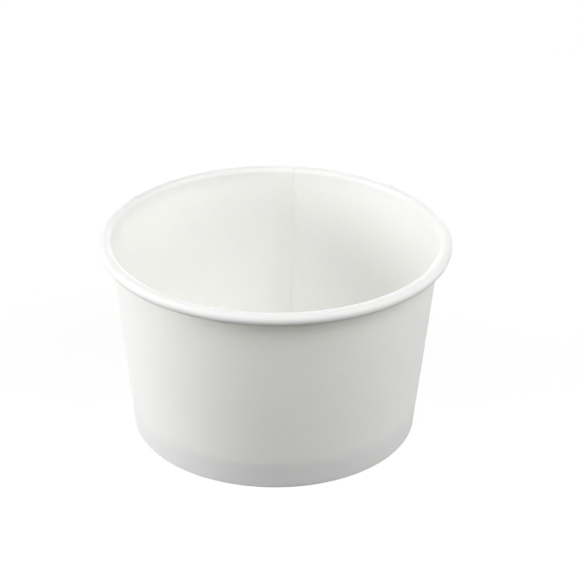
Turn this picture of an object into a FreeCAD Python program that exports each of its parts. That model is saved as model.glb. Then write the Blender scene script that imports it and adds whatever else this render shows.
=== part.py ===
"""Paper sundae cup, about 96 mm across the rim, made of two pieces of coated board.

The wall is one blank: it is rolled into a cone, lapped and sealed up the back, curled
outwards at the top into the rim roll, and folded in and up at the foot.
The bottom is a second blank: a disc whose edge is turned down into a flange, which the fold
at the foot of the wall holds all round.
Units are millimetres. The origin is on the cup's axis, on the table, and +Z is up.
The front of the cup faces -Y, and the lapped seam is at the back.
"""
import FreeCAD, Part
import math
import os

# Overall sizes
rim_radius = 48.0        # outside of the rim roll
cup_height = 56.0        # table to the top of the roll
foot_radius = 39.4       # outside of the wall where it meets the table

# Board
wall_board = 0.35        # thickness of the wall blank
bottom_board = 0.30      # thickness of the bottom blank
seal_gap = 0.02          # sealing line between the flange and the board on each side of it

# Rim roll
roll_height = 3.2        # outside of the roll, top to bottom
roll_flat = 0.4          # how much wider than high the roll is
coil_gap = 0.10          # air between the inner turn of the roll and the wall
coil_turn = 205.0        # degrees that the inner turn goes on past the underside of the roll

# Foot
fold_radius = 0.20       # middle of the board, at each corner of the fold
hem_length = 5.6         # length of the wall blank that is folded up inside

# Bottom
floor_height = 7.4       # table to the upper face of the floor
flange_radius = 0.60     # middle of the board, where the floor turns down
flange_length = 5.4      # length of the flange below that bend

# Side seam
lap_width = 6.0          # overlap of the two ends of the wall blank, at the rim
seam_azimuth = 84.0      # degrees from +X of the raw edge that shows inside
ramp_width = 1.6         # distance in which the outer end of the blank comes down beside that edge
ramp_root = 0.10         # how deep the wedge of the ramp is rooted in the wall
groove_depth = 0.25      # depth of the groove that the ramp leaves inside, less what the seal fills
groove_clear = 0.8       # the groove ends this far below the top of the wall
groove_above_floor = 0.3


def rz(r, z):
    """A point of the half plane in which the sections are drawn."""
    return FreeCAD.Vector(r, 0, z)


def heading_vector(degrees):
    a = math.radians(degrees)
    return rz(math.cos(a), math.sin(a))


def left_of(degrees):
    return heading_vector(degrees + 90)


class SheetPath:
    """The middle line of a folded sheet in section: straight runs and bends, each tangent to the last."""

    def __init__(self, start, heading):
        self.point = start
        self.heading = heading
        self.runs = []

    def straight(self, length):
        end = self.point + heading_vector(self.heading) * length
        self.runs.append(("straight", self.point, end, self.heading))
        self.point = end
        return self

    def bend(self, radius, turn):
        """Turns left by a positive number of degrees and right by a negative one."""
        side = 1 if turn > 0 else -1
        centre = self.point + left_of(self.heading) * (radius * side)
        self.runs.append(("bend", centre, radius, self.heading, turn))
        self.heading += turn
        self.point = centre - left_of(self.heading) * (radius * side)
        return self

    def edges(self, offset):
        """The line that lies offset to the left of the middle line, one edge for each run."""
        made = []
        for run in self.runs:
            if run[0] == "straight":
                shift = left_of(run[3]) * offset
                made.append(Part.LineSegment(run[1] + shift, run[2] + shift).toShape())
            else:
                made.append(self.bend_edge(run, offset))
        return made

    @staticmethod
    def bend_edge(run, offset):
        centre, radius, heading, turn = run[1:]
        side = 1 if turn > 0 else -1
        reach = side * (radius - side * offset)
        places = [centre - left_of(heading + turn * share) * reach for share in (0, 0.5, 1)]
        return Part.Arc(*places).toShape()

    def section(self, left, right):
        """The face between the lines that lie left and right of the middle line."""
        upper = self.edges(left)
        lower = self.edges(-right)
        caps = [
            Part.LineSegment(upper[0].Vertexes[0].Point, lower[0].Vertexes[0].Point).toShape(),
            Part.LineSegment(upper[-1].Vertexes[-1].Point, lower[-1].Vertexes[-1].Point).toShape(),
        ]
        outline = Part.Wire(Part.__sortEdges__(upper + lower + caps))
        return Part.Face(outline)


# The wall in section, worked out from the sizes above
half_wall = wall_board / 2
roll_radius = (roll_height - wall_board) / 2
roll_centre = rz(rim_radius - roll_height / 2 - roll_flat, cup_height - roll_height / 2)
foot_corner = rz(foot_radius, 0)


def wall_slope():
    """Degrees between the wall and upright, so that its outside runs from the foot to the roll."""
    rise = roll_centre - foot_corner
    inside_roll = roll_radius - half_wall
    lean = math.atan2(rise.x, rise.z) - math.asin(inside_roll / rise.Length)
    return math.degrees(lean)


slope = wall_slope()
up_wall = heading_vector(90 - slope)
out_of_wall = heading_vector(-slope)
run_per_rise = math.tan(math.radians(slope))
level_share = 1 / math.cos(math.radians(slope))


def wall_radius(z, out=0.0):
    """Radius of the wall at a height: its outside, or a line that far outside it."""
    return foot_radius + z * run_per_rise + out * level_share


hem_spacing = wall_board + bottom_board + 2 * seal_gap
fold_flat = (hem_spacing - 2 * fold_radius) * level_share
wall_start_z = half_wall + fold_radius * (1 - math.sin(math.radians(slope)))
wall_start = rz(wall_radius(wall_start_z, -half_wall), wall_start_z)
wall_end = roll_centre - out_of_wall * roll_radius
wall_length = (wall_end - wall_start).Length


def roll_over(path):
    """Carries a path from the top of the wall over the roll and round to its underside."""
    path.bend(roll_radius, slope - 90)
    path.straight(roll_flat)
    path.bend(roll_radius, -180)
    return path


def wall_path():
    """Hem, fold, wall and roll, in one line."""
    hem_foot = wall_start - out_of_wall * hem_spacing - up_wall * (fold_flat * math.sin(math.radians(slope)))
    path = SheetPath(hem_foot + up_wall * hem_length, 270 - slope)
    path.straight(hem_length)
    path.bend(fold_radius, 90 + slope)
    path.straight(fold_flat)
    path.bend(fold_radius, 90 - slope)
    path.straight(wall_length)
    roll_over(path)
    path.straight(roll_flat)
    path.bend(roll_radius - wall_board - coil_gap, -coil_turn)
    return path


def turned(face, start, sweep):
    """Revolves a section about the cup's axis, from one azimuth through a sweep, in degrees."""
    solid = face.revolve(rz(0, 0), FreeCAD.Vector(0, 0, 1), sweep)
    solid.rotate(rz(0, 0), FreeCAD.Vector(0, 0, 1), start)
    return solid


def at_azimuth(radius, degrees, z):
    a = math.radians(degrees)
    return FreeCAD.Vector(radius * math.cos(a), radius * math.sin(a), z)


# The seam
lap_sweep = math.degrees(lap_width / wall_radius(cup_height))
ramp_sweep = math.degrees(ramp_width / wall_radius(cup_height / 2))


def seam_wedge(out, rise, low_z, high_z):
    """A long thin wedge on a line of the wall, beside the raw edge: it rises there and runs out to nothing."""
    tail = ramp_sweep * (1 + ramp_root / rise)
    sections = []
    for z in (low_z, high_z):
        root = wall_radius(z, out - ramp_root)
        corners = [
            at_azimuth(root, seam_azimuth, z),
            at_azimuth(wall_radius(z, out + rise), seam_azimuth, z),
            at_azimuth(root, seam_azimuth - tail, z),
        ]
        sections.append(Part.makePolygon(corners + corners[:1]))
    return Part.makeLoft(sections, True, True)


def make_wall():
    """The wall blank as it is in the finished cup, with its seam."""
    wall = turned(wall_path().section(half_wall, half_wall), 0, 360)
    lap_path = roll_over(SheetPath(wall_start, 90 - slope).straight(wall_length))
    lap = turned(lap_path.section(0, half_wall + wall_board), seam_azimuth, lap_sweep)
    ramp = seam_wedge(0.0, wall_board, wall_start_z, cup_height - roll_height)
    groove = seam_wedge(-wall_board, groove_depth, floor_height + groove_above_floor, wall_end.z - groove_clear)
    return wall.fuse([lap, ramp]).cut(groove)


def make_bottom():
    """The disc of the floor with its flange turned down beside the wall."""
    middle_z = floor_height - bottom_board / 2
    bend_end_z = middle_z - flange_radius * (1 + math.sin(math.radians(slope)))
    to_flange = wall_board + seal_gap + bottom_board / 2
    flange_r = wall_radius(bend_end_z, -to_flange)
    floor_reach = flange_r - flange_radius * math.cos(math.radians(slope))
    path = SheetPath(rz(0, middle_z), 0)
    path.straight(floor_reach)
    path.bend(flange_radius, -90 - slope)
    path.straight(flange_length)
    return turned(path.section(bottom_board / 2, bottom_board / 2), 0, 360)


def save(name, shape):
    """Writes one sub-part and prints what it is."""
    solids = shape.Solids
    assert len(solids) == 1 and solids[0].isValid(), name
    solids[0].exportStep(os.path.join("parts", name + ".step"))
    box = shape.BoundBox
    print(name, "volume", round(shape.Volume, 1), "faces", len(shape.Faces),
          "size", round(box.XLength, 2), round(box.YLength, 2), round(box.ZLength, 2))


def main():
    os.makedirs("parts", exist_ok=True)
    wall = make_wall()
    bottom = make_bottom()
    save("side_wall", wall)
    save("bottom_disc", bottom)
    print("slope", round(slope, 2), "overlap", round(wall.common(bottom).Volume, 4))


main()
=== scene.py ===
"""Looks of a paper sundae cup: a lapped wall with a rolled rim and a pressed foot, and a recessed floor.

Each piece is drawn as the board runs in the finished cup, in section, and spun about the cup's axis.
Lengths are in metres, and angles in degrees unless a name says otherwise.
The cup stands on z = 0 with its axis on Z, its front towards -Y and its side seam near +Y.
"""
import logging
import math
from dataclasses import dataclass
from enum import Enum
from typing import Iterable

import bmesh
import bpy
from mathutils import Matrix, Quaternion, Vector, noise


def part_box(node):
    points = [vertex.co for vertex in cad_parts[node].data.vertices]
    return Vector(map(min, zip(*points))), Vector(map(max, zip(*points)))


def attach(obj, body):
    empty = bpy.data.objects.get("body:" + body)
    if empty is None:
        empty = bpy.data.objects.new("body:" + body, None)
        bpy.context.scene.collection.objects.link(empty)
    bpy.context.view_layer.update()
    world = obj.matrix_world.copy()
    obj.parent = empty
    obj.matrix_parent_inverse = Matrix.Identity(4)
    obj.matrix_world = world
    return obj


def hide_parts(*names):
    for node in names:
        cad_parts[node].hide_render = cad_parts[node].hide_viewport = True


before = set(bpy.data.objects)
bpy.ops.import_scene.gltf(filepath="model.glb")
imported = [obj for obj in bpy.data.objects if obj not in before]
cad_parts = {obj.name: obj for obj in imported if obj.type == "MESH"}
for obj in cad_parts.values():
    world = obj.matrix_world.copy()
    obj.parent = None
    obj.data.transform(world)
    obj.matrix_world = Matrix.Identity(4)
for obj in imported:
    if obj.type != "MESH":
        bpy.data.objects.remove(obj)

log = logging.getLogger("sundae_cup")

Colour = tuple[float, float, float]

MM = 0.001
VIEW_TARGET = (4.82 * MM, 0.0, 38.22 * MM)
MERGE_DISTANCE = 0.0005 * MM
SHARP_CORNER = 38.0


# Shader arithmetic


class Signal:
    """A value socket of a shader, on which Python arithmetic adds Math nodes."""

    def __init__(self, bench: "NodeBench", socket: bpy.types.NodeSocket) -> None:
        """Wraps one output socket of a node on the bench."""
        self.bench = bench
        self.socket = socket

    def _with(self, operation: str, *values: "Signal | bpy.types.NodeSocket | float") -> "Signal":
        """Adds one Math node and returns its result."""
        inputs = dict(enumerate(values))
        return self.bench.value("ShaderNodeMath", {"operation": operation}, inputs)

    def __add__(self, other: "Signal | float") -> "Signal":
        """self + other."""
        return self._with("ADD", self, other)

    def __radd__(self, other: float) -> "Signal":
        """other + self."""
        return self._with("ADD", other, self)

    def __sub__(self, other: "Signal | float") -> "Signal":
        """self - other."""
        return self._with("SUBTRACT", self, other)

    def __rsub__(self, other: float) -> "Signal":
        """other - self."""
        return self._with("SUBTRACT", other, self)

    def __mul__(self, other: "Signal | float") -> "Signal":
        """self * other."""
        return self._with("MULTIPLY", self, other)

    def either(self, other: bpy.types.NodeSocket) -> "Signal":
        """The larger of this value and a socket's."""
        return self._with("MAXIMUM", self, other)


class NodeBench:
    """Builds the node tree of one material or world."""

    def __init__(self, tree: bpy.types.NodeTree) -> None:
        """Clears the tree and keeps it."""
        self.tree = tree
        tree.nodes.clear()

    def node(
        self,
        kind: str,
        settings: dict[str, object] | None = None,
        inputs: dict[str | int, object] | None = None,
    ) -> bpy.types.Node:
        """Adds one node.

        Args:
            kind: Blender's name for the node's type.
            settings: the node's own properties, set before its sockets.
            inputs: for each socket, by name or number, a value, a Signal or a socket to link.

        Returns:
            The new node.
        """
        made = self.tree.nodes.new(kind)
        for name, choice in (settings or {}).items():
            setattr(made, name, choice)
        for key, given in (inputs or {}).items():
            if isinstance(given, Signal):
                given = given.socket
            if isinstance(given, bpy.types.NodeSocket):
                self.tree.links.new(given, made.inputs[key])
            else:
                made.inputs[key].default_value = given
        return made

    def value(
        self,
        kind: str,
        settings: dict[str, object] | None = None,
        inputs: dict[str | int, object] | None = None,
        output: str | int = 0,
    ) -> Signal:
        """Adds one node and returns the output that is asked for as a Signal."""
        return Signal(self, self.node(kind, settings, inputs).outputs[output])

    def blend(self, factor: Signal, low: Colour, high: Colour) -> bpy.types.NodeSocket:
        """Mixes two colours by a factor.

        Args:
            factor: 0 gives the first colour, and 1 the second.
            low: the first colour.
            high: the second colour.

        Returns:
            The socket that carries the mixed colour.
        """
        inputs = {0: factor, 6: (*low, 1.0), 7: (*high, 1.0)}
        return self.node("ShaderNodeMix", {"data_type": "RGBA"}, inputs).outputs[2]

    def smooth_step(self, signal: Signal, low: float, high: float) -> Signal:
        """Rises smoothly from 0 to 1.

        Args:
            signal: the value that is read.
            low: where the result leaves 0.
            high: where it reaches 1.

        Returns:
            The risen value.
        """
        settings = {"interpolation_type": "SMOOTHSTEP"}
        inputs = {"Value": signal, "From Min": low, "From Max": high}
        return self.value("ShaderNodeMapRange", settings, inputs, "Result")

    def grain(
        self, place: bpy.types.NodeSocket, size: float, detail: float, rough: float = 0.5
    ) -> Signal:
        """A cloudy noise about 0.5, whose patches are about the given size across."""
        inputs = {"Vector": place, "Scale": 1 / size, "Detail": detail, "Roughness": rough}
        return self.value("ShaderNodeTexNoise", None, inputs, 0)


# Finishes


@dataclass(frozen=True)
class CoatedBoard:
    """Bleached cup board with a thin satin film on each side, which lets a little light through, with
    painted shade on the band at the foot.
    """

    name: str
    tone: Colour = (0.900, 0.904, 0.878)
    # The darker tone below the skirt's top edge is painted shade. It stands for the light that the
    # thicker, backed board at the foot lets through less.
    skirt_painted_shade_tone: Colour = (0.890, 0.891, 0.871)
    painted_shade_below: float = 7.2 * MM
    painted_shade_blur: float = 0.6 * MM
    cloud_size: float = 3.0 * MM
    cloud_depth: float = 0.020
    fibre_size: float = 0.45 * MM
    fibre_stretch: float = 0.30
    fibre_depth: float = 0.022
    roughness: float = 0.55
    roughness_swing: float = 0.10
    gloss: float = 0.30
    refraction: float = 1.45
    bump_height: float = 0.012 * MM
    bump_strength: float = 0.5
    fibre_relief: float = 0.6
    ripple_relief: float = 1.4
    ripple_size: float = 5.0 * MM
    coat: float = 0.05
    coat_roughness: float = 0.32
    scatter: float = 1.0
    scatter_depth: float = 0.42 * MM
    scatter_tint: Colour = (1.0, 0.97, 0.88)

    def material(self) -> bpy.types.Material:
        """Builds the board's material, with its patterns on Object coordinates.

        Returns:
            The material.
        """
        made = bpy.data.materials.new(self.name)
        made.use_nodes = True
        bench = NodeBench(made.node_tree)
        place = bench.node("ShaderNodeTexCoord").outputs["Object"]
        along_grain = bench.node(
            "ShaderNodeMapping",
            {"vector_type": "POINT"},
            {"Vector": place, "Scale": (1.0, 1.0, self.fibre_stretch)},
        ).outputs["Vector"]
        height = bench.value("ShaderNodeSeparateXYZ", None, {"Vector": place}, "Z")

        cloud = bench.grain(place, self.cloud_size, detail=3.0)
        fibre = bench.grain(along_grain, self.fibre_size, detail=3.0, rough=0.6)
        ripple = bench.grain(place, self.ripple_size, detail=1.0)

        # Painted shade: the band at the foot is made darker for the light that the backed board there
        # lets through less.
        skirt_shade = 1 - bench.smooth_step(
            height, self.painted_shade_below - self.painted_shade_blur, self.painted_shade_below + self.painted_shade_blur
        )
        tone = bench.blend(skirt_shade, self.tone, self.skirt_painted_shade_tone)
        shade = 1 + (cloud - 0.5) * self.cloud_depth + (fibre - 0.5) * self.fibre_depth
        grey = bench.node("ShaderNodeCombineColor", None, {0: shade, 1: shade, 2: shade}).outputs[0]
        colour = bench.node(
            "ShaderNodeVectorMath", {"operation": "MULTIPLY"}, {0: tone, 1: grey}
        ).outputs[0]

        relief = fibre * self.fibre_relief + ripple * self.ripple_relief
        normal = bench.node(
            "ShaderNodeBump",
            None,
            {"Strength": self.bump_strength, "Distance": self.bump_height, "Height": relief},
        ).outputs["Normal"]
        surface = bench.node(
            "ShaderNodeBsdfPrincipled",
            None,
            {
                "Base Color": colour,
                "Roughness": self.roughness + (fibre - 0.5) * self.roughness_swing,
                "Coat Weight": self.coat,
                "Coat Roughness": self.coat_roughness,
                "IOR": self.refraction,
                "Specular IOR Level": self.gloss,
                "Subsurface Weight": self.scatter,
                "Subsurface Scale": self.scatter_depth,
                "Subsurface Radius": self.scatter_tint,
                "Normal": normal,
            },
        )
        bench.node("ShaderNodeOutputMaterial", None, {"Surface": surface.outputs[0]})
        return made


@dataclass(frozen=True)
class CutEdge:
    """The raw edge where the board was cut, with its fibres bare."""

    name: str
    tone: Colour = (0.88, 0.87, 0.84)
    fibre_tone: Colour = (0.80, 0.78, 0.73)
    fibre_size: float = 0.12 * MM
    fibre_low: float = 0.40
    fibre_high: float = 0.62
    roughness: float = 0.92
    bump_height: float = 0.02 * MM
    bump_strength: float = 0.6

    def material(self) -> bpy.types.Material:
        """Builds the edge's material, with its fibres on Object coordinates.

        Returns:
            The material.
        """
        made = bpy.data.materials.new(self.name)
        made.use_nodes = True
        bench = NodeBench(made.node_tree)
        place = bench.node("ShaderNodeTexCoord").outputs["Object"]
        fibre = bench.grain(place, self.fibre_size, detail=4.0, rough=0.65)
        bare = bench.smooth_step(fibre, self.fibre_low, self.fibre_high)
        colour = bench.blend(bare, self.fibre_tone, self.tone)
        normal = bench.node(
            "ShaderNodeBump",
            None,
            {"Strength": self.bump_strength, "Distance": self.bump_height, "Height": fibre},
        ).outputs["Normal"]
        surface = bench.node(
            "ShaderNodeBsdfPrincipled",
            None,
            {"Base Color": colour, "Roughness": self.roughness, "Normal": normal},
        )
        bench.node("ShaderNodeOutputMaterial", None, {"Surface": surface.outputs[0]})
        return made


# Board in section


class Region(Enum):
    """The stretch of a blank that a point belongs to."""

    HEM = 0
    FOLD = 1
    WALL = 2
    ROLL = 3
    COIL = 4
    FLOOR = 5
    FLANGE_BEND = 6
    FLANGE = 7


class Skin(Enum):
    """The two sides of the board."""

    FOOD_SIDE = 0
    OUTSIDE = 1


@dataclass(frozen=True)
class Run:
    """One straight or bent stretch of the board's middle line.

    A straight run has a length, and a bend has a radius and a turn, to the left if it is positive.
    The rows are the steps in which each skin is drawn.
    """

    region: Region
    length: float = 0.0
    radius: float = 0.0
    turn: float = 0.0
    rows: int = 1

    def drawn_length(self) -> float:
        """Length of the middle line."""
        return self.length + self.radius * math.radians(abs(self.turn))


def heading_vector(degrees: float) -> Vector:
    """Unit vector in the XZ plane, turned from +X towards +Z."""
    angle = math.radians(degrees)
    return Vector((math.cos(angle), 0.0, math.sin(angle)))


class SectionPen:
    """Draws one skin of a board's section by moving and spinning a vertex."""

    def __init__(self, mesh: bmesh.types.BMesh, skin: Skin, start: Vector, heading: float) -> None:
        """Puts the first vertex of the skin down.

        Args:
            mesh: the mesh to draw in, which has the layers side, region and along.
            skin: which side of the board is drawn.
            start: where the skin starts.
            heading: the direction in which it starts, in degrees.
        """
        self.mesh = mesh
        self.skin = skin
        self.heading = heading
        self.layers = mesh.verts.layers
        self.first = mesh.verts.new(start)
        self.tip = self.first

    def _mark(self, region: Region, along: float) -> None:
        """Notes on the tip which side and place of the board it is.

        Args:
            region: the stretch that the tip belongs to.
            along: how far it lies from the start of that stretch.
        """
        self.tip[self.layers.int["side"]] = self.skin.value
        self.tip[self.layers.int["region"]] = region.value
        self.tip[self.layers.float["along"]] = along

    def draw(self, runs: Iterable[Run], offset: float) -> None:
        """Draws the skin beside a middle line.

        Args:
            runs: the stretches of the middle line.
            offset: how far the skin lies to the left of the middle line.
        """
        region, along = None, 0.0
        for run in runs:
            if run.region is not region:
                region, along = run.region, 0.0
                if self.tip is self.first:
                    self._mark(region, along)
            for _ in range(run.rows):
                if run.turn:
                    self._bend(run.radius, run.turn / run.rows, offset)
                else:
                    self._go_on(run.length / run.rows)
                along += run.drawn_length() / run.rows
                self._mark(region, along)

    def _go_on(self, length: float) -> None:
        """Extrudes the tip straight ahead.

        Args:
            length: how far it goes.
        """
        self.tip = bmesh.ops.extrude_vert_indiv(self.mesh, verts=[self.tip])["verts"][0]
        step = heading_vector(self.heading) * length
        bmesh.ops.translate(self.mesh, verts=[self.tip], vec=step)

    def _bend(self, radius: float, turn: float, offset: float) -> None:
        """Spins the tip about the centre of a bend of the middle line.

        Args:
            radius: radius of the bend.
            turn: degrees that it turns to the left.
            offset: how far the skin lies to the left of the middle line.
        """
        side = math.copysign(1.0, turn)
        left = heading_vector(self.heading + 90.0)
        centre = self.tip.co + left * (side * radius - offset)
        made = bmesh.ops.spin(
            self.mesh,
            geom=[self.tip],
            cent=centre,
            axis=(0.0, -1.0, 0.0),
            angle=math.radians(turn),
            steps=1,
        )
        self.tip = made["geom_last"][0]
        self.heading += turn


@dataclass(frozen=True)
class Sector:
    """Equal strips of the turn about the cup's axis, one after another, each spun in some columns."""

    sweep: float
    columns: int
    strips: int = 1


@dataclass
class SpunBoard:
    """A board's section spun about the cup's axis, before its details are pressed into it."""

    thickness: float
    start: Vector
    heading: float

    def section(self, runs: list[Run], closed: bool) -> bmesh.types.BMesh:
        """Draws both skins and the raw edges between them.

        Args:
            runs: the stretches of the middle line.
            closed: whether a raw edge also closes the start, as it does not at the cup's axis.

        Returns:
            A mesh that holds the section's outline.
        """
        mesh = bmesh.new()
        mesh.verts.layers.int.new("side")
        mesh.verts.layers.int.new("region")
        mesh.verts.layers.float.new("along")
        pens = []
        for skin, offset in ((Skin.FOOD_SIDE, self.thickness / 2), (Skin.OUTSIDE, -self.thickness / 2)):
            corner = self.start + heading_vector(self.heading + 90.0) * offset
            pen = SectionPen(mesh, skin, corner, self.heading)
            pen.draw(runs, offset)
            pens.append(pen)
        mesh.edges.new((pens[0].tip, pens[1].tip))
        if closed:
            mesh.edges.new((pens[0].first, pens[1].first))
        return mesh

    def spin(
        self, section: bmesh.types.BMesh, start_azimuth: float, sectors: Iterable[Sector]
    ) -> bmesh.types.BMesh:
        """Spins the section strip by strip, and closes the seams between the strips and the pole.

        Args:
            section: the mesh that holds the section's outline, which is freed here.
            start_azimuth: degrees from +X at which the first strip starts.
            sectors: the sectors of the full turn, in order.

        Returns:
            The closed mesh.
        """
        outline = bpy.data.meshes.new("outline")
        section.to_mesh(outline)
        section.free()
        whole = bmesh.new()
        azimuth = start_azimuth
        for sector in sectors:
            strip = self._spun_strip(outline, sector)
            for _ in range(sector.strips):
                known = len(whole.verts)
                whole.from_mesh(strip)
                whole.verts.ensure_lookup_table()
                turned = Matrix.Rotation(math.radians(azimuth), 3, "Z")
                bmesh.ops.rotate(whole, verts=whole.verts[known:], cent=(0.0, 0.0, 0.0), matrix=turned)
                azimuth += sector.sweep
            bpy.data.meshes.remove(strip)
        bpy.data.meshes.remove(outline)
        bmesh.ops.remove_doubles(whole, verts=whole.verts[:], dist=MERGE_DISTANCE)
        bmesh.ops.recalc_face_normals(whole, faces=whole.faces[:])
        whole.normal_update()
        return whole

    @staticmethod
    def _spun_strip(outline: bpy.types.Mesh, sector: Sector) -> bpy.types.Mesh:
        """Spins the outline through one strip of a sector.

        Args:
            outline: the section's outline.
            sector: the sector that the strip belongs to.

        Returns:
            The strip, as a mesh of its own.
        """
        mesh = bmesh.new()
        mesh.from_mesh(outline)
        bmesh.ops.spin(
            mesh,
            geom=mesh.verts[:] + mesh.edges[:],
            cent=(0.0, 0.0, 0.0),
            axis=(0.0, 0.0, 1.0),
            angle=math.radians(sector.sweep),
            steps=sector.columns,
        )
        strip = bpy.data.meshes.new("strip")
        mesh.to_mesh(strip)
        mesh.free()
        return strip


def smooth_share(x: float) -> float:
    """Rises smoothly from 0 to 1 while x goes from 0 to 1."""
    x = min(1.0, max(0.0, x))
    return x * x * (3.0 - 2.0 * x)


def finished_piece(
    name: str, mesh: bmesh.types.BMesh, materials: Iterable[bpy.types.Material]
) -> bpy.types.Object:
    """Makes an object at the origin from a mesh, smooth apart from its real corners.

    Args:
        name: the piece's name.
        mesh: the finished mesh, which is freed here.
        materials: the materials of its slots, in order.

    Returns:
        The object, linked to the scene.
    """
    data = bpy.data.meshes.new(name)
    mesh.to_mesh(data)
    mesh.free()
    for material in materials:
        data.materials.append(material)
    data.polygons.foreach_set("use_smooth", [True] * len(data.polygons))
    data.set_sharp_from_angle(angle=math.radians(SHARP_CORNER))
    piece = bpy.data.objects.new(name, data)
    bpy.context.scene.collection.objects.link(piece)
    return piece


# The two pieces


@dataclass
class SideWall:
    """The wall blank: hem, fold, cone, rolled rim and the lapped seam up the back.

    The seam's turns are in degrees round the axis, from the raw edge that shows inside.
    The skirt is the band at the foot that the hem backs, and the knurls are the hem's crimped ribs.
    A column of faces is about as many degrees wide as column says.
    A point counts as on the raw edge within cut_slack degrees, and a face as part of a raw edge
    where its normal points round the axis by more than cut_facing.
    """

    rim_radius: float
    height: float
    foot_radius: float = 39.4 * MM
    board: float = 0.35 * MM
    bottom_board: float = 0.30 * MM
    seal_gap: float = 0.02 * MM
    roll_height: float = 3.2 * MM
    roll_flat: float = 0.4 * MM
    coil_gap: float = 0.10 * MM
    coil_turn: float = 205.0
    fold_radius: float = 0.20 * MM
    hem_length: float = 5.6 * MM
    lap_width: float = 6.0 * MM
    seam_azimuth: float = 84.0
    ramp_width: float = 1.6 * MM
    cut_width: float = 0.05 * MM
    cut_slack: float = 1e-4
    cut_nudge: float = 1e-5
    cut_facing: float = 0.6
    groove_share: float = 0.45
    lap_start: float = 0.5 * MM
    lap_rise: float = 2.0 * MM
    column: float = 0.75
    strips: int = 22
    skirt_height: float = 7.2 * MM
    skirt_edge: float = 1.0 * MM
    skirt_press: float = 0.04 * MM
    knurls: int = 120
    knurl_depth: float = 0.05 * MM
    knurl_fade: float = 0.8 * MM
    sway: float = 0.04 * MM
    sway_size: float = 22.0 * MM
    sway_start: float = 10.8 * MM
    sway_fade: float = 7.2 * MM
    crimp: float = 0.012 * MM
    crimp_size: float = 2.6 * MM

    def __post_init__(self) -> None:
        """Works out the section from the sizes."""
        half = self.board / 2
        self.roll_radius = (self.roll_height - self.board) / 2
        centre_r = self.rim_radius - self.roll_height / 2 - self.roll_flat
        centre = Vector((centre_r, 0.0, self.height - self.roll_height / 2))
        rise = centre - Vector((self.foot_radius, 0.0, 0.0))
        lean = math.atan2(rise.x, rise.z) - math.asin((self.roll_radius - half) / rise.length)
        self.slope = math.degrees(lean)
        self.up = heading_vector(90.0 - self.slope)
        self.out = heading_vector(-self.slope)
        spacing = self.board + self.bottom_board + 2 * self.seal_gap
        self.fold_flat = (spacing - 2 * self.fold_radius) / math.cos(lean)
        start_z = half + self.fold_radius * (1.0 - math.sin(lean))
        start_r = self.foot_radius + start_z * math.tan(lean) - half / math.cos(lean)
        self.wall_start = Vector((start_r, 0.0, start_z))
        self.wall_length = (centre - self.out * self.roll_radius - self.wall_start).length
        fold_end = self.wall_start - self.out * spacing - self.up * (self.fold_flat * math.sin(lean))
        self.hem_top = fold_end + self.up * self.hem_length
        self.lap_turn = math.degrees(self.lap_width / self.rim_radius)
        self.ramp_turn = math.degrees(self.ramp_width / self.rim_radius)
        self.cut_turn = math.degrees(self.cut_width / self.rim_radius)

    def runs(self) -> list[Run]:
        """Lays out the blank.

        Returns:
            Its stretches, from the hem's raw edge to the end of the coil.
        """
        skirt_low = self.skirt_height - self.skirt_edge
        upper = self.wall_length - skirt_low - 2 * self.skirt_edge
        inner_turn = self.roll_radius - self.board - self.coil_gap
        return [
            Run(Region.HEM, length=self.hem_length, rows=8),
            Run(Region.FOLD, radius=self.fold_radius, turn=90.0 + self.slope, rows=5),
            Run(Region.FOLD, length=self.fold_flat),
            Run(Region.FOLD, radius=self.fold_radius, turn=90.0 - self.slope, rows=5),
            Run(Region.WALL, length=skirt_low, rows=4),
            Run(Region.WALL, length=2 * self.skirt_edge, rows=6),
            Run(Region.WALL, length=upper, rows=10),
            Run(Region.ROLL, radius=self.roll_radius, turn=self.slope - 90.0, rows=9),
            Run(Region.ROLL, length=self.roll_flat),
            Run(Region.ROLL, radius=self.roll_radius, turn=-180.0, rows=18),
            Run(Region.COIL, length=self.roll_flat),
            Run(Region.COIL, radius=inner_turn, turn=-self.coil_turn, rows=14),
        ]

    def sectors(self) -> list[Sector]:
        """Shares out the turn about the axis, with close columns at both raw edges.

        Returns:
            The sectors, from the raw edge inside.
        """
        rest = 360.0 - self.lap_turn - self.ramp_turn - 2 * self.cut_turn
        return [
            Sector(self.lap_turn, columns=10),
            Sector(self.cut_turn, columns=1),
            Sector(rest / self.strips, round(rest / self.strips / self.column), self.strips),
            Sector(self.ramp_turn, columns=8),
            Sector(self.cut_turn, columns=1),
        ]

    def _lift(self, turn: float) -> float:
        """Share of a board's thickness by which the outer end of the blank stands out.

        Args:
            turn: degrees round the axis from the raw edge inside.

        Returns:
            0 away from the seam, 1 over the lap.
        """
        if turn < self.lap_turn + self.cut_turn / 2:
            return 1.0
        ramp_start = 360.0 - self.cut_turn - self.ramp_turn
        return smooth_share((turn - ramp_start) / self.ramp_turn)

    def _seam_press(self, skin: Skin, region: Region, along: float, turn: float) -> float:
        """Presses a point where the two ends of the blank lap.

        Args:
            skin: the side of the board that the point is on.
            region: the stretch that it belongs to.
            along: how far it lies from the start of that stretch.
            turn: degrees round the axis from the raw edge inside.

        Returns:
            How far it moves outwards from the board.
        """
        if region not in (Region.WALL, Region.ROLL):
            return 0.0
        lift = self._lift(turn) * self.board
        if region is Region.WALL:
            lift *= smooth_share((along - self.lap_start) / self.lap_rise)
        if skin is Skin.OUTSIDE:
            return lift
        at_cut = min(turn, 360.0 - turn) < self.cut_slack
        return 0.0 if at_cut or turn < 180.0 else -lift * self.groove_share

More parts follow.
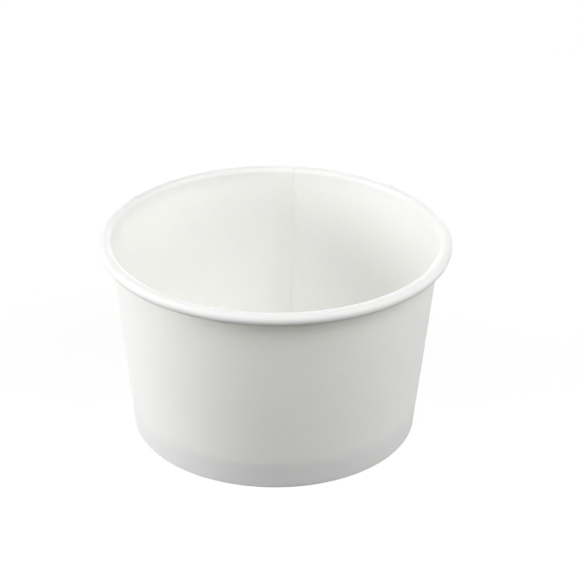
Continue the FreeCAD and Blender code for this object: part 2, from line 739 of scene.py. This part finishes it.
    def _foot_press(self, skin: Skin, region: Region, along: float, turn: float) -> float:
        """Presses a point of the skirt or the hem.

        Args:
            skin: the side of the board that the point is on.
            region: the stretch that it belongs to.
            along: how far it lies from the start of that stretch.
            turn: degrees round the axis from the raw edge inside.

        Returns:
            How far it moves outwards from the board.
        """
        if skin is not Skin.OUTSIDE:
            return 0.0
        if region is Region.WALL:
            low = self.skirt_height - self.skirt_edge / 2
            return -self.skirt_press * (1.0 - smooth_share((along - low) / self.skirt_edge))
        if region is Region.HEM:
            near_end = min(along, self.hem_length - along)
            wave = 0.5 - 0.5 * math.cos(math.radians(turn * self.knurls))
            return -self.knurl_depth * wave * smooth_share(near_end / self.knurl_fade)
        return 0.0

    def _sway(self, point: Vector, skin: Skin, region: Region, along: float) -> float:
        """Moves a point by the board's own unevenness.

        Args:
            point: where it lies.
            skin: the side of the board that it is on.
            region: the stretch that it belongs to.
            along: how far it lies from the start of that stretch.

        Returns:
            How far it moves outwards from the board.
        """
        outwards = 1.0 if skin is Skin.OUTSIDE else -1.0
        if region is Region.WALL:
            clear_of_floor = smooth_share((along - self.sway_start) / self.sway_fade)
            clear_of_roll = smooth_share((self.wall_length - along) / self.sway_fade)
            swing = noise.noise(point / self.sway_size) * self.sway
            return outwards * swing * clear_of_floor * clear_of_roll
        if region is Region.ROLL and skin is Skin.FOOD_SIDE:
            return -self.crimp * abs(noise.noise(point / self.crimp_size))
        return 0.0

    def build(self) -> bmesh.types.BMesh:
        """Draws, spins and presses the wall, and gives its raw edges the second material slot.

        Returns:
            The wall's mesh.
        """
        shell = SpunBoard(self.board, self.hem_top, 270.0 - self.slope)
        section = shell.section(self.runs(), closed=True)
        mesh = shell.spin(section, self.seam_azimuth, self.sectors())
        side = mesh.verts.layers.int["side"]
        region = mesh.verts.layers.int["region"]
        along = mesh.verts.layers.float["along"]
        for vert in mesh.verts:
            azimuth = math.degrees(math.atan2(vert.co.y, vert.co.x))
            turn = (azimuth - self.seam_azimuth + self.cut_nudge) % 360.0
            skin, place, distance = Skin(vert[side]), Region(vert[region]), vert[along]
            push = self._seam_press(skin, place, distance, turn)
            push += self._foot_press(skin, place, distance, turn)
            push += self._sway(vert.co, skin, place, distance)
            vert.co += vert.normal * push
        mesh.normal_update()
        for face in mesh.faces:
            sides = {vert[side] for vert in face.verts}
            centre = face.calc_center_median()
            around = Vector((-centre.y, centre.x, 0.0)).normalized()
            if len(sides) == 2 or abs(face.normal.dot(around)) > self.cut_facing:
                face.material_index = 1
        return mesh


@dataclass
class BottomDisc:
    """The floor blank: a disc whose edge is turned down into the flange that the hem holds."""

    floor_height: float
    floor_reach: float
    wall_slope: float
    board: float
    flange_radius: float = 0.60 * MM
    flange_length: float = 5.4 * MM
    column: float = 1.5
    strips: int = 12
    sway: float = 0.05 * MM
    sway_size: float = 14.0 * MM
    plain_margin: float = 3.0 * MM

    @classmethod
    def held_by(cls, wall: SideWall, top: float) -> "BottomDisc":
        """Sizes the disc to the wall whose hem grips its flange.

        Args:
            wall: the wall.
            top: height of the floor's upper face.

        Returns:
            The disc.
        """
        lean = math.radians(wall.slope)
        to_flange = wall.board + wall.seal_gap + wall.bottom_board / 2
        bend_end_z = top - wall.bottom_board / 2 - cls.flange_radius * (1.0 + math.sin(lean))
        flange_r = wall.foot_radius + bend_end_z * math.tan(lean) - to_flange / math.cos(lean)
        floor_reach = flange_r - cls.flange_radius * math.cos(lean)
        return cls(top, floor_reach, wall.slope, wall.bottom_board)

    def runs(self) -> list[Run]:
        """Lays out the blank.

        Returns:
            Its stretches, from the axis to the raw edge of the flange.
        """
        return [
            Run(Region.FLOOR, length=self.floor_reach, rows=16),
            Run(Region.FLANGE_BEND, radius=self.flange_radius, turn=-90.0 - self.wall_slope, rows=8),
            Run(Region.FLANGE, length=self.flange_length, rows=4),
        ]

    def build(self) -> bmesh.types.BMesh:
        """Draws and spins the disc, lets its floor sway a little, and marks its raw edge.

        Returns:
            The disc's mesh.
        """
        start = Vector((0.0, 0.0, self.floor_height - self.board / 2))
        shell = SpunBoard(self.board, start, 0.0)
        sweep = 360.0 / self.strips
        section = shell.section(self.runs(), closed=False)
        mesh = shell.spin(section, 0.0, [Sector(sweep, round(sweep / self.column), self.strips)])
        side = mesh.verts.layers.int["side"]
        region = mesh.verts.layers.int["region"]
        for vert in mesh.verts:
            if Region(vert[region]) is not Region.FLOOR:
                continue
            reach = math.hypot(vert.co.x, vert.co.y)
            share = smooth_share((self.floor_reach - reach) / self.plain_margin)
            place = Vector((vert.co.x, vert.co.y, 0.0)) / self.sway_size
            vert.co.z -= self.sway * share * abs(noise.noise(place))
        mesh.normal_update()
        for face in mesh.faces:
            if len({vert[side] for vert in face.verts}) == 2:
                face.material_index = 1
        return mesh


@dataclass
class Cup:
    """The whole cup: its two pieces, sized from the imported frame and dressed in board."""

    body: str = "root"
    wall_node: str = "side_wall"
    disc_node: str = "bottom_disc"

    def build(self) -> list[bpy.types.Object]:
        """Makes both pieces and sets them on the body.

        Returns:
            The two pieces.
        """
        low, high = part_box(self.wall_node)
        wall = SideWall(rim_radius=(high.x - low.x) / 2, height=high.z)
        disc = BottomDisc.held_by(wall, top=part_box(self.disc_node)[1].z)
        wall_finish = CoatedBoard("wall_board")
        disc_finish = CoatedBoard("bottom_board", cloud_size=3.6 * MM)
        edge = CutEdge("cut_edge").material()
        return [
            self._dress("cup_wall", wall.build(), wall_finish, edge, self.wall_node),
            self._dress("cup_bottom", disc.build(), disc_finish, edge, self.disc_node),
        ]

    def _dress(
        self,
        name: str,
        mesh: bmesh.types.BMesh,
        finish: CoatedBoard,
        edge: bpy.types.Material,
        node: str,
    ) -> bpy.types.Object:
        """Makes one piece stand for its CAD node.

        Args:
            name: the piece's name.
            mesh: its mesh.
            finish: the finish of its skins.
            edge: the material of its raw edges.
            node: the CAD node that it replaces.

        Returns:
            The piece.
        """
        piece = finished_piece(name, mesh, [finish.material(), edge])
        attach(piece, self.body)
        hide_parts(node)
        return piece


# The studio


def direction(azimuth: float, elevation: float) -> Vector:
    """Unit vector towards a place round the cup: azimuth 0 is the front, and 90 the right."""
    a, e = math.radians(azimuth), math.radians(elevation)
    return Vector((math.sin(a) * math.cos(e), -math.cos(a) * math.cos(e), math.sin(e)))


@dataclass(frozen=True)
class SoftBox:
    """A square area lamp that faces the cup, with its power in watts."""

    name: str
    azimuth: float
    elevation: float
    power: float
    distance: float = 0.9
    size: float = 0.6

    def place(self, target: Vector) -> None:
        """Adds the lamp to the scene.

        Args:
            target: the point that it faces.
        """
        data = bpy.data.lights.new(self.name, "AREA")
        data.shape = "SQUARE"
        data.size = self.size
        data.energy = self.power
        lamp = bpy.data.objects.new(self.name, data)
        away = direction(self.azimuth, self.elevation)
        lamp.location = target + away * self.distance
        lamp.rotation_mode = "QUATERNION"
        lamp.rotation_quaternion = away.to_track_quat("Z", "Y")
        bpy.context.scene.collection.objects.link(lamp)


@dataclass
class Studio:
    """A white sweep, soft lamps and the camera.

    The sweep is a matt floor of the tone sweep_tone, which takes the cup's shadow.
    It also shows sweep_seen by itself, to which the lamps add what is missing to white.
    """

    target: Vector
    sweep_radius: float = 6.0
    sweep_tone: float = 0.14
    sweep_seen: float = 0.882
    sweep_segments: int = 64
    camera_distance: float = 528.0 * MM
    camera_elevation: float = 27.316
    camera_roll: float = 0.63
    lens: float = 118.0
    clip_near: float = 0.01
    clip_far: float = 50.0
    lamps: tuple[SoftBox, ...] = (
        SoftBox("left_low", -85.0, 5.0, 8.0),
        SoftBox("left_front", -55.0, 2.0, 2.1),
        SoftBox("left_high", -55.0, 45.0, 1.6),
        SoftBox("front_top", 0.0, 65.0, 2.2),
        SoftBox("right_high", 55.0, 45.0, 4.1),
        SoftBox("right_low", 72.0, 3.0, 3.3),
        SoftBox("right_back_low", 110.0, 5.0, 1.0),
        SoftBox("back_low", 180.0, 5.0, 6.1),
    )

    def _seen_directly(self, bench: NodeBench) -> Signal:
        """Tells what is looked at from what gives light.

        Args:
            bench: the node tree that asks.

        Returns:
            1 for what the camera, a reflection or clear glass shows, and 0 for light on a surface.
        """
        path = bench.node("ShaderNodeLightPath").outputs
        camera = Signal(bench, path["Is Camera Ray"])
        return camera.either(path["Is Glossy Ray"]).either(path["Is Transmission Ray"])

    def build_world(self) -> None:
        """Makes a world that looks white, also in reflections, and gives no other light."""
        world = bpy.data.worlds.new("plain_white")
        world.use_nodes = True
        bpy.context.scene.world = world
        bench = NodeBench(world.node_tree)
        inputs = {"Color": (1.0, 1.0, 1.0, 1.0), "Strength": self._seen_directly(bench)}
        light = bench.node("ShaderNodeBackground", None, inputs)
        bench.node("ShaderNodeOutputWorld", None, {"Surface": light.outputs[0]})

    def build_sweep(self) -> None:
        """Makes the floor, which looks white where nothing shades it and keeps the cup's shadow."""
        mesh = bmesh.new()
        bmesh.ops.create_circle(
            mesh, cap_ends=True, radius=self.sweep_radius, segments=self.sweep_segments
        )
        data = bpy.data.meshes.new("sweep")
        mesh.to_mesh(data)
        mesh.free()
        material = bpy.data.materials.new("sweep")
        material.use_nodes = True
        bench = NodeBench(material.node_tree)
        tone = (self.sweep_tone,) * 3 + (1.0,)
        matt = bench.node("ShaderNodeBsdfDiffuse", None, {"Color": tone})
        strength = self._seen_directly(bench) * self.sweep_seen
        glow = bench.node("ShaderNodeEmission", None, {"Strength": strength})
        both = bench.node("ShaderNodeAddShader", None, {0: matt.outputs[0], 1: glow.outputs[0]})
        bench.node("ShaderNodeOutputMaterial", None, {"Surface": both.outputs[0]})
        data.materials.append(material)
        floor = bpy.data.objects.new("sweep", data)
        bpy.context.scene.collection.objects.link(floor)

    def build_camera(self) -> None:
        """Places the camera at the viewing angle of the photograph."""
        data = bpy.data.cameras.new("camera")
        data.lens = self.lens
        data.clip_start = self.clip_near
        data.clip_end = self.clip_far
        camera = bpy.data.objects.new("camera", data)
        away = direction(0.0, self.camera_elevation)
        camera.location = self.target + away * self.camera_distance
        camera.rotation_mode = "QUATERNION"
        level = away.to_track_quat("Z", "Y")
        camera.rotation_quaternion = level @ Quaternion((0.0, 0.0, 1.0), math.radians(self.camera_roll))
        bpy.context.scene.collection.objects.link(camera)
        bpy.context.scene.camera = camera

    def build(self) -> None:
        """Builds the world, the floor, the lamps and the camera."""
        bpy.context.scene.view_settings.view_transform = "Standard"
        self.build_world()
        self.build_sweep()
        for lamp in self.lamps:
            lamp.place(self.target)
        self.build_camera()
        log.info("studio: %d lamps", len(self.lamps))


def main() -> None:
    """Builds the cup and the studio."""
    logging.basicConfig(level=logging.INFO, format="%(name)s: %(message)s")
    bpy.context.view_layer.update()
    for piece in Cup().build():
        log.info("%s: %d faces", piece.name, len(piece.data.polygons))
    Studio(target=Vector(VIEW_TARGET)).build()
    bpy.context.view_layer.update()


if __name__ == "__main__":
    main()
